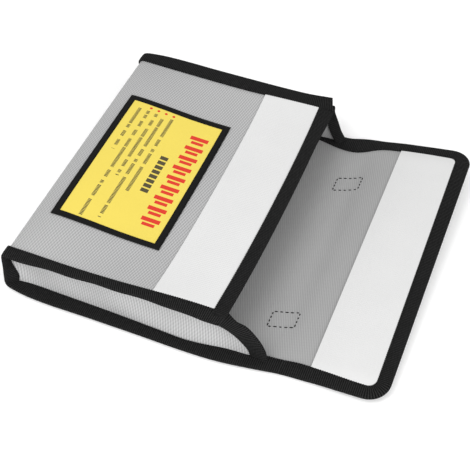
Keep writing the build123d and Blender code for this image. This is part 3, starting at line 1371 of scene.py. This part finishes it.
class Fold(Enum):
    """The three folds of the flap: the joint, and the bodies on either side of it."""

    ROOT = ("flap_fold", "bag", "flap_root")
    MID = ("flap_bend", "flap_root", "flap_mid")
    LIP = ("lip_fold", "flap_mid", "flap_lip")

    def place(self) -> Vector:
        """The fold's axis, in millimetres from the base fold."""
        return axis_of(self.value[0])

    def bend(self, piece: bpy.types.Object, reach: float = 8.4) -> bpy.types.Object:
        """Bakes a piece's place into its mesh; the piece is not bent at this fold.

        Args:
            piece: the object.
            reach: how far past the axis a bend would be complete; only a slope that is not used is worked
                out from it.

        Returns:
            The same object.
        """
        low = self.place()
        slope = (LIE.under(low.x + reach, 0.0) - LIE.under(low.x, 0.0)) / reach
        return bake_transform(piece)


@dataclass(frozen=True)
class Flap:
    """The flap and the strip of back that carries it, in three pieces of cloth between its folds.

    start is the cut where its cloth meets the back; corner and sheet_corner are the radii of the
    free edge, outside the tape and on the cloth; grow is how far the edge stands past the frame;
    raw_in is how far the cloth's raw edge lies inside the tape's fold; strip_corner and strip_lap
    are the loop strip's corner radius and its reach under the side tapes; lowest is the least
    height of a side tape's middle line, which keeps the tape off the ground.
    """

    silver: bpy.types.Material
    lining: bpy.types.Material
    tape: bpy.types.Material
    loops: bpy.types.Material
    thread: bpy.types.Material
    start: float
    corner: float = 14.0
    grow: float = 0.5
    step: float = 1.5
    raw_in: float = 0.8
    sheet_corner: float = 13.2
    strip_corner: float = 5.4
    strip_lap: float = 1.2
    lowest: float = 1.6

    def cuts(self) -> list:
        """Places along X where the flap's pieces meet: halfway between its folds."""
        root, mid, lip = (fold.place().x for fold in Fold)
        return [self.start, (root + mid) / 2, (mid + lip) / 2, LAY.flap_end + self.grow]

    def stations(self, low: float, high: float) -> np.ndarray:
        """Evenly spaced places along X between two cuts."""
        return np.linspace(low, high, max(3, int(round((high - low) / self.step)) + 1))

    def side_lines(self, rim: Rim, x: np.ndarray) -> tuple:
        """The sewn line and the raw edge of the tape along one side.

        Args:
            rim: the lines of one side.
            x: places from the base.

        Returns:
            The two lines.
        """
        sign = rim.side.value
        rise = 0.75 - 0.40 * smooth(160, 178, x)
        lines = []
        for out in (rim.back_in(x), rim.back_out(x)):
            height = np.maximum(LIE.under(x, sign * out) + rise, self.lowest)
            lines.append(np.stack([x, sign * out, height], -1))
        return lines[0], lines[1]

    def lip_lines(self) -> tuple:
        """The sewn line and the raw edge of the tape from the last cut, round the free edge.

        Returns:
            The two lines.
        """
        cut, end = self.cuts()[2], self.cuts()[3]
        halves = {}
        for side, rim in RIMS.items():
            sign, hub_x = side.value, end - self.corner
            x = self.stations(cut, hub_x)
            inner, outer = rim.back_in(x), rim.back_out(x)
            width = float(outer[-1] - inner[-1])
            hub_y = float(outer[-1]) + self.raw_in - self.corner
            turn = np.linspace(0, np.pi / 2, 15)[1:]
            arcs = []
            for radius, straight in ((self.corner - self.raw_in - width, inner),
                                     (self.corner - self.raw_in, outer)):
                ax = np.concatenate([x, hub_x + radius * np.sin(turn)])
                ay = np.concatenate([straight, hub_y + radius * np.cos(turn)])
                arcs.append(np.stack([ax, sign * ay], -1))
            halves[side] = (arcs, hub_y)
        near, far = halves[Side.NEAR], halves[Side.FAR]
        along = np.arange(-near[1] + 1.5, far[1] - 0.7, self.step)
        lines = []
        for k in (0, 1):
            edge_x = near[0][k][-1, 0] + (far[0][k][-1, 0] - near[0][k][-1, 0]) * (
                (along + near[1]) / (near[1] + far[1]))
            plan = np.concatenate([near[0][k], np.stack([edge_x, along], -1), far[0][k][::-1]])
            z = LIE.under(plan[:, 0], plan[:, 1]) + LAY.cloth / 2
            lines.append(np.concatenate([plan, z[:, None]], axis=1))
        return lines[0], lines[1]

    def reach(self, rim: Rim, x: np.ndarray, inset: float, radius: float) -> np.ndarray:
        """Half width of a sheet on the flap, less at the rounded corners.

        Args:
            rim: the side.
            x: places from the base.
            inset: distance in from the tape's outer edge.
            radius: corner radius of that sheet.

        Returns:
            Distance from the middle at each place.
        """
        wide = rim.back_out(x) + self.raw_in - inset
        hub = self.cuts()[3] - inset - radius
        over = np.clip((x - hub) / radius, 0, 1)
        return wide - radius * (1 - np.sqrt(1 - over ** 2 * NEAR_ONE))

    def sheet_grid(self, x: np.ndarray, inset: float, radius: float, columns: int = 81) -> tuple:
        """Plan of a sheet over the flap.

        Args:
            x: places from the base.
            inset: distance in from the outer edge.
            radius: corner radius of the sheet.
            columns: points across.

        Returns:
            X and Y of each point of a grid.
        """
        near = -self.reach(NEAR_RIM, x, inset, radius)[:, None]
        far = self.reach(FAR_RIM, x, inset, radius)[:, None]
        share = np.linspace(0, 1, columns)[None, :]
        y = near + (far - near) * share
        return np.broadcast_to(x[:, None], y.shape), y

    def cloth(self, run_to_back: float) -> None:
        """The three pieces of cloth.

        Args:
            run_to_back: course of the cloth from the mouth edge to the foot of the back.
        """
        cuts = self.cuts()
        parts = [self.stations(a, b) for a, b in zip(cuts[:2], cuts[1:3])]
        hub = cuts[3] - self.corner
        round_end = hub + self.sheet_corner * np.sin(np.linspace(0, np.pi / 2, 16))[1:]
        parts.append(np.concatenate([self.stations(cuts[2], hub), round_end]))
        x = np.concatenate([parts[0], parts[1][1:], parts[2][1:]])
        gx, gy = self.sheet_grid(x, self.raw_in, self.sheet_corner)
        outer = np.stack([gx, gy, LIE.under(gx, gy)], -1)
        inner = outer - grid_normals(outer) * LAY.cloth
        uv = np.stack([gx + run_to_back, gy], -1)
        ends = np.cumsum([0, len(parts[0]) - 1, len(parts[1]) - 1, len(parts[2]) - 1])
        for fold, name, a, b in zip(Fold, ("root", "mid", "lip"), ends[:-1], ends[1:]):
            rows = np.s_[a : b + 1]
            piece = shell(f"flap_cloth_{name}", outer[rows], inner[rows], uv[rows],
                          [self.silver, self.lining])
            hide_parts(f"flap_{name}_panel")
            fold.bend(piece)

    def side_tapes(self) -> None:
        """Tape along both sides, from the back seam to the last cut."""
        cuts = self.cuts()
        for rim in RIMS.values():
            side = rim.side.name.lower()
            for fold, name, a, b in zip((Fold.ROOT, Fold.MID), ("root", "mid"), cuts[:2], cuts[1:3]):
                inner, outer = self.side_lines(rim, np.linspace(a, b, int((b - a) / 0.75)))
                piece = band(f"{side}_flap_{name}_tape", inner, outer, self.tape, thick=(1.5, 1.05))
                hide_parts(f"{side}_flap_{name}_tape")
                fold.bend(piece)
                fold.bend(tape_stitches(f"{side}_flap_{name}_stitches", inner, outer, 1.45, self.thread))

    def lip_tape(self) -> None:
        """Tape round the free edge."""
        inner, outer = self.lip_lines()
        fine = np.linspace(0, len(inner) - 1, (len(inner) - 1) * 2 + 1)
        inner, outer = (np.stack([np.interp(fine, np.arange(len(line)), c) for c in line.T], -1)
                        for line in (inner, outer))
        piece = band("flap_lip_tape", inner, outer, self.tape, thick=(1.5, 1.0))
        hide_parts("flap_lip_edge_tape")
        Fold.LIP.bend(piece)
        Fold.LIP.bend(tape_stitches("flap_lip_stitches", inner, outer, 1.45, self.thread))

    def loop_strip(self) -> None:
        """The white strip inside the flap."""
        low = low_high("flap_loop_strip_mid")[0].x
        end = self.cuts()[3] - LAY.tape + 1.0
        radius = self.strip_corner
        hub = end - radius
        round_end = hub + radius * np.sin(np.linspace(0, np.pi / 2, 9))[1:]
        x = np.concatenate([self.stations(low, hub), round_end])
        near = -(NEAR_RIM.back_in(x) + self.strip_lap)[:, None]
        far = (FAR_RIM.back_in(x) + self.strip_lap)[:, None]
        over = np.clip((x - hub) / radius, 0, 1)
        shrink = radius * (1 - np.sqrt(1 - over ** 2 * NEAR_ONE))[:, None]
        share = np.linspace(0, 1, 81)[None, :]
        y = near + shrink + (far - near - 2 * shrink) * share
        gx = np.broadcast_to(x[:, None], y.shape)
        z = LIE.under(gx, y) + LAY.cloth
        faces = [np.stack([gx, y, z + up], -1) for up in (-0.1, 0.9)]
        piece = shell("loop_strip", faces[1], faces[0], np.stack([gx, y], -1), [self.loops], (0, 0, 0))
        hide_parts("flap_loop_strip_mid", "flap_loop_strip_lip")
        Fold.LIP.bend(piece)


@dataclass(frozen=True)
class HandleStrap:
    """The flat strap outside the fold of the flap, and the two sewn boxes that hold it.

    Each row of lean is one box, near then far: its shift along and across the strap's fold, and
    how far its sides slant. lowest_thread is the least height of a stitch under the strap.
    """

    webbing: bpy.types.Material
    thread: bpy.types.Material
    box_x: float = 16.0
    box_y: float = 12.5
    spacing: float = 131.0
    pitch: float = 2.9
    lean: tuple = ((-1.2, 2.6, 0.29), (-0.2, 0.7, 0.38))
    lowest_thread: float = 0.27

    def strap(self) -> None:
        """The strap, as one band of webbing."""
        back, flap = low_high("handle_strap_back_half"), low_high("handle_strap_flap_half")
        xs = np.linspace(back[0].x, flap[1].x, 21)
        ys = np.linspace(back[0].y, back[1].y, 90)
        x, y = np.meshgrid(xs, ys, indexing="ij")
        top = LIE.under(x, y)
        thick = back[1].z - back[0].z
        edge = 0.3 * smooth(0.86, 1.0, np.abs(x - LAY.fold) / ((xs[-1] - xs[0]) / 2))
        lower = np.stack([x, y, np.maximum(top - thick + edge, 0.02)], -1)
        upper = np.stack([x, y, top + 0.1], -1)
        uv = np.stack([y, x], -1)
        piece = shell("handle_strap", upper, lower, uv, [self.webbing], (0, 0, 0))
        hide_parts("handle_strap_back_half", "handle_strap_flap_half")
        Fold.ROOT.bend(piece)

    def boxes(self) -> None:
        """The sewn boxes, as separate stitches on the lining and on the strap."""
        low, high = low_high("handle_strap_back_half")
        middle = (low.y + high.y) / 2
        points, heads = [], []
        for side, (x0, shift, turn) in zip(Side, self.lean):
            y0 = middle + side.value * self.spacing / 2 + shift
            half_x, half_y = self.box_x / 2, self.box_y / 2
            corners = [(-half_x, -half_y - turn * half_x), (half_x, -half_y + turn * half_x),
                       (half_x, half_y + turn * half_x), (-half_x, half_y - turn * half_x)]
            for a, b in zip(corners, corners[1:] + corners[:1]):
                count = int(math.dist(a, b) / self.pitch)
                for k in range(count):
                    t = (k + 0.5) / count
                    x, y = a[0] + (b[0] - a[0]) * t + LAY.fold + x0, a[1] + (b[1] - a[1]) * t + y0
                    z = float(LIE.under(x, y))
                    points += [(x, y, z + LAY.cloth + 0.12), (x, y, max(z - 1.22, self.lowest_thread))]
                    heads += [(b[0] - a[0], b[1] - a[1], 0)] * 2
        piece = Stitches(length=2.7, width=0.85, height=0.55, jitter=0.4).lay(
            "handle_box_stitches", np.array(points), unit(np.array(heads, float)), self.thread)
        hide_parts("handle_box_stitches_back", "handle_box_stitches_flap")
        Fold.ROOT.bend(piece)


@dataclass(frozen=True)
class Studio:
    """Pale floor, soft light and the camera.

    Angles are in radians, distance in metres, target and ground_z in millimetres from the base
    fold. Each lamp has its name, its place in metres, its size and its power.
    """

    lens: float = 91.29
    sensor: float = 36.0
    azimuth: float = math.radians(18.9975)
    elevation: float = math.radians(46.6707)
    roll: float = math.radians(2.6173)
    distance: float = 0.75361
    target: tuple = (122.224, -29.282, 20.0)
    ground_z: float = -0.05
    surround: float = 0.74
    lamps: tuple = (("key_lamp", (-0.55, -0.75, 1.15), 0.9, 7.0),
                    ("fill_lamp", (1.0, -0.75, 0.7), 1.0, 9.0),
                    ("low_lamp", (0.1, -1.4, 0.40), 1.0, 3.0))

    def floor(self) -> None:
        """A wide plain floor, just under the pouch."""
        maker = MeshMaker("floor")
        line = np.linspace(-2500.0, 2500.0, 9)
        x, y = np.meshgrid(line, line, indexing="ij")
        z = np.full_like(x, self.ground_z)
        maker.grid(np.stack([x, y, z], -1)[:, ::-1], np.stack([x, y], -1)[:, ::-1])
        piece = maker.build([Ground().material()])
        if piece.data.polygons[0].normal.z < 0:
            piece.data.flip_normals()
        piece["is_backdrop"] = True

    def lights(self) -> None:
        """An even white surround and three large soft lamps."""
        world = bpy.data.worlds.new("surround")
        world.use_nodes = True
        world.node_tree.nodes["Background"].inputs[0].default_value = (1.0, 1.0, 1.0, 1.0)
        world.node_tree.nodes["Background"].inputs[1].default_value = self.surround
        bpy.context.scene.world = world
        for name, place, size, power in self.lamps:
            data = bpy.data.lights.new(name, "AREA")
            data.shape, data.size, data.energy = "DISK", size, power
            lamp = bpy.data.objects.new(name, data)
            bpy.context.scene.collection.objects.link(lamp)
            lamp.location = place
            lamp.rotation_mode = "QUATERNION"
            lamp.rotation_quaternion = (Vector((0, 0, 0)) - Vector(place)).to_track_quat("-Z", "Y")

    def camera(self) -> None:
        """The camera, level but for a small roll."""
        a, e = self.azimuth, self.elevation
        back = Vector((math.sin(a) * math.cos(e), -math.cos(a) * math.cos(e), math.sin(e)))
        right = Vector((0, 0, 1)).cross(back).normalized()
        up = back.cross(right)
        c, s = math.cos(self.roll), math.sin(self.roll)
        right, up = right * c + up * s, up * c - right * s
        data = bpy.data.cameras.new("camera")
        data.lens, data.sensor_width = self.lens, self.sensor
        data.clip_start, data.clip_end = 0.01, 50.0
        camera = bpy.data.objects.new("camera", data)
        bpy.context.scene.collection.objects.link(camera)
        turn = Matrix((right, up, back)).transposed().to_4x4()
        camera.matrix_world = Matrix.Translation(row_point(*self.target) + back * self.distance) @ turn
        bpy.context.scene.camera = camera
        bpy.context.scene.view_settings.view_transform = "Standard"


def main() -> None:
    """Builds the pouch, its flap and its handle, and reports each piece."""
    logging.basicConfig(level=logging.INFO, format="%(name)s: %(message)s")
    studio = Studio()
    studio.camera()
    studio.floor()
    studio.lights()
    silver, lining, tape = SilverCloth().material(), Lining().material(), BindingTape().material()
    thread = Thread().material()
    pouch = Pouch(silver, lining, tape)
    pouch.cloth()
    for rim in RIMS.values():
        name = rim.side.name.lower()
        pouch.gusset(rim)
        pouch.seam_tape(rim)
        pouch.mouth_tape(rim)
        inner, outer = pouch.lines(rim)
        inner, outer = ease(inner, pouch.step, pouch.corner), ease(outer, pouch.step, pouch.corner)
        bend_to_front(tape_stitches(f"{name}_seam_stitches", inner, outer, 1.45, thread))
    trim = FrontTrim(tape, HookAndLoop("hook_strip_pile").material(), LabelPrint().material(), thread)
    trim.edge_tape()
    trim.hook_strip()
    trim.label_cloth()
    trim.label_edge()
    trim.overlock()
    flap = Flap(silver, lining, tape, HookAndLoop("loop_strip_pile", level=0.68, hooks=0.15).material(),
                thread, start=pouch.back_end)
    flap.cloth(LAY.mouth + LAY.top)
    flap.side_tapes()
    flap.lip_tape()
    flap.loop_strip()
    strap = HandleStrap(Webbing().material(), thread)
    strap.strap()
    strap.boxes()
    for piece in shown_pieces():
        LOG.info("%s: %d faces", piece.name, len(piece.data.polygons))


if __name__ == "__main__":
    main()
